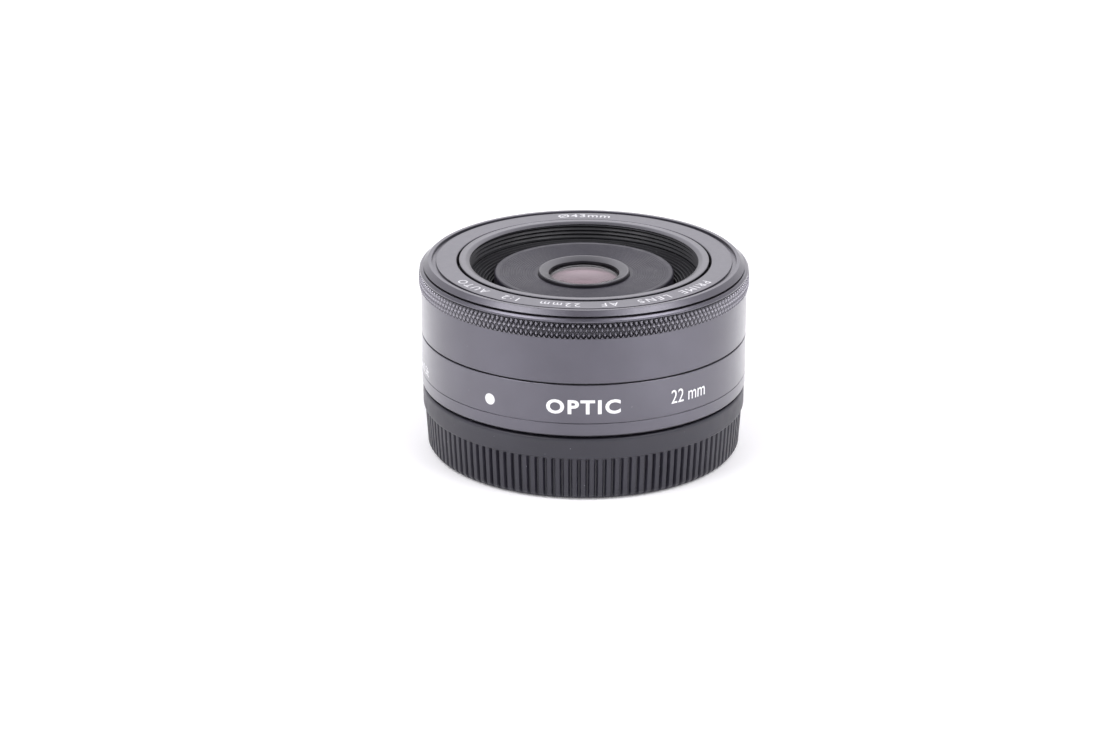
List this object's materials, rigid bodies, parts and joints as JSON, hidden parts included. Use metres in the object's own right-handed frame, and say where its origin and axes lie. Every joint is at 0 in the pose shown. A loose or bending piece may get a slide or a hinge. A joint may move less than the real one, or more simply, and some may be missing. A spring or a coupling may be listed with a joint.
{
  "type": "prime camera lens",
  "caption": "Short pancake prime lens standing on its rear cap: knurled focus ring, extending lens barrel with filter thread, iris, gear-driven cam focus and bayonet mount.",
  "frame": {"origin": "centre of the rear cap's bottom face, on the optical axis", "axes": "+Z along the optical axis towards the front of the lens; -Y towards the focal length lettering"},
  "size_m": [0.061, 0.061, 0.0362],
  "materials": {
    "cap_plastic": "moulded black plastic, fine ribbed grip",
    "mount_metal": "machined and satin plated",
    "marked_barrel": "black anodised, satin, white markings",
    "focus_grip": "black anodised, diamond knurled band",
    "front_ring": "grey-black anodised, fine bead blast, pale lettering",
    "lens_barrel": "black anodised, threaded",
    "inner_metal": "machined",
    "black_plastic": "matt black moulded plastic",
    "front_disc": "satin black with fine concentric grooves",
    "gold_contact": "gold plated, polished",
    "screw_steel": "zinc black or bright steel",
    "circuit_board": "green solder mask",
    "chip_black": "moulded package",
    "motor_can": "drawn steel can",
    "pinion_brass": "cut brass",
    "gear_plastic": "acetal",
    "optical_glass": "multi-coated",
    "blade_metal": "dry-film black",
    "flex_film": "polyimide film"
  },
  "bodies": {
    "rear_cap": {"rear_cap": "cap_plastic"},
    "barrel": {"lens_mount": "mount_metal", "mount_screws": "screw_steel", "rear_ring": "marked_barrel", "outer_barrel": "marked_barrel", "fixed_barrel": "black_plastic", "name_ring": "front_ring", "friction_washer": "black_plastic", "ring_sensors": "chip_black", "rear_cover": "black_plastic", "contact_block": "black_plastic", "contact_pins": "gold_contact", "contact_screws": "screw_steel", "main_board": "circuit_board", "board_chips": "chip_black", "board_screws": "screw_steel", "guide_barrel": "inner_metal", "guide_screws": "screw_steel", "focus_motor": "motor_can", "gear_shafts": "screw_steel", "gear_plate": "inner_metal", "plate_screws": "screw_steel"},
    "focus_ring": {"focus_ring": "focus_grip"},
    "cam_ring": {"cam_ring": "inner_metal"},
    "lens_unit": {"inner_barrel": "lens_barrel", "cam_followers": "pinion_brass", "light_trap_ring": "black_plastic", "front_cover": "front_disc", "nose_ring": "lens_barrel", "front_cell": "black_plastic", "lens_element_1": "optical_glass", "lens_element_2": "optical_glass", "lens_element_3": "optical_glass", "front_spacer": "black_plastic", "rear_cell": "black_plastic", "lens_element_4": "optical_glass", "lens_element_5": "optical_glass", "lens_element_6": "optical_glass", "lens_element_7": "optical_glass", "rear_spacer": "black_plastic", "rear_retainer": "black_plastic", "cell_screws": "screw_steel", "iris_base": "black_plastic", "iris_cover": "inner_metal", "iris_motor": "motor_can", "iris_screws": "screw_steel", "iris_flex": "flex_film"},
    "motor_pinion": {"motor_pinion": "pinion_brass"},
    "reduction_gear_1": {"reduction_gear_1": "gear_plastic"},
    "reduction_gear_2": {"reduction_gear_2": "gear_plastic"},
    "iris_ring": {"iris_ring": "inner_metal"},
    "iris_pinion": {"iris_pinion": "pinion_brass"},
    "iris_blade_1": {"iris_blade_1": "blade_metal"},
    "iris_blade_2": {"iris_blade_2": "blade_metal"},
    "iris_blade_3": {"iris_blade_3": "blade_metal"},
    "iris_blade_4": {"iris_blade_4": "blade_metal"},
    "iris_blade_5": {"iris_blade_5": "blade_metal"},
    "iris_blade_6": {"iris_blade_6": "blade_metal"},
    "iris_blade_7": {"iris_blade_7": "blade_metal"}
  },
  "joints": [
    {"name": "cap_release", "type": "slide", "parent": "rear_cap", "child": "barrel", "axis": [0, 0, 1], "range_m": [0, 0.03]},
    {"name": "focus_ring_turn", "type": "hinge", "parent": "barrel", "child": "focus_ring", "pos_m": [0, 0, 0.03], "axis": [0, 0, 1], "continuous": true},
    {"name": "focus_drive", "type": "hinge", "parent": "barrel", "child": "cam_ring", "pos_m": [0, 0, 0.027], "axis": [0, 0, 1], "range_deg": [0, 75]},
    {"name": "focus_travel", "type": "slide", "parent": "barrel", "child": "lens_unit", "axis": [0, 0, 1], "range_m": [0, 0.0046], "deforming": ["iris_flex"]},
    {"name": "motor_turn", "type": "hinge", "parent": "barrel", "child": "motor_pinion", "pos_m": [-0.01677, 0.00212, 0.0188], "axis": [0, 0, 1], "range_deg": [0, 8611]},
    {"name": "gear_1_turn", "type": "hinge", "parent": "barrel", "child": "reduction_gear_1", "pos_m": [-0.01835, 0.0066, 0.0195], "axis": [0, 0, 1], "range_deg": [-3076, 0]},
    {"name": "gear_2_turn", "type": "hinge", "parent": "barrel", "child": "reduction_gear_2", "pos_m": [-0.01975, 0.0114, 0.0202], "axis": [0, 0, 1], "range_deg": [0, 1026]},
    {"name": "iris_drive", "type": "hinge", "parent": "lens_unit", "child": "iris_ring", "pos_m": [0, 0, 0.0251], "axis": [0, 0, 1], "range_deg": [0, 20]},
    {"name": "blade_1_swing", "type": "hinge", "parent": "lens_unit", "child": "iris_blade_1", "pos_m": [0.0096, 0, 0.0241], "axis": [0, 0, 1], "range_deg": [0, 30.1]},
    {"name": "blade_2_swing", "type": "hinge", "parent": "lens_unit", "child": "iris_blade_2", "pos_m": [0.00599, 0.00751, 0.0241], "axis": [0, 0, 1], "range_deg": [0, 30.1]},
    {"name": "blade_3_swing", "type": "hinge", "parent": "lens_unit", "child": "iris_blade_3", "pos_m": [-0.00214, 0.00936, 0.0241], "axis": [0, 0, 1], "range_deg": [0, 30.1]},
    {"name": "blade_4_swing", "type": "hinge", "parent": "lens_unit", "child": "iris_blade_4", "pos_m": [-0.00865, 0.00417, 0.0241], "axis": [0, 0, 1], "range_deg": [0, 30.1]},
    {"name": "blade_5_swing", "type": "hinge", "parent": "lens_unit", "child": "iris_blade_5", "pos_m": [-0.00865, -0.00417, 0.0241], "axis": [0, 0, 1], "range_deg": [0, 30.1]},
    {"name": "blade_6_swing", "type": "hinge", "parent": "lens_unit", "child": "iris_blade_6", "pos_m": [-0.00214, -0.00936, 0.0241], "axis": [0, 0, 1], "range_deg": [0, 30.1]},
    {"name": "blade_7_swing", "type": "hinge", "parent": "lens_unit", "child": "iris_blade_7", "pos_m": [0.00599, -0.00751, 0.0241], "axis": [0, 0, 1], "range_deg": [0, 30.1]},
    {"name": "iris_motor_turn", "type": "hinge", "parent": "lens_unit", "child": "iris_pinion", "pos_m": [0, 0.01485, 0.0252], "axis": [0, 0, 1], "range_deg": [-219, 0]}
  ],
  "couplings": [
    {"joint": "focus_travel", "follows": "focus_drive", "m_per_rad": 0.0035141},
    {"joint": "gear_2_turn", "follows": "focus_drive", "ratio": 13.667},
    {"joint": "gear_1_turn", "follows": "focus_drive", "ratio": -41},
    {"joint": "motor_turn", "follows": "focus_drive", "ratio": 114.8},
    {"joint": "blade_1_swing", "follows": "iris_drive", "ratio": 1.5},
    {"joint": "blade_2_swing", "follows": "iris_drive", "ratio": 1.5},
    {"joint": "blade_3_swing", "follows": "iris_drive", "ratio": 1.5},
    {"joint": "blade_4_swing", "follows": "iris_drive", "ratio": 1.5},
    {"joint": "blade_5_swing", "follows": "iris_drive", "ratio": 1.5},
    {"joint": "blade_6_swing", "follows": "iris_drive", "ratio": 1.5},
    {"joint": "blade_7_swing", "follows": "iris_drive", "ratio": 1.5},
    {"joint": "iris_motor_turn", "follows": "iris_drive", "ratio": -10.9}
  ]
}
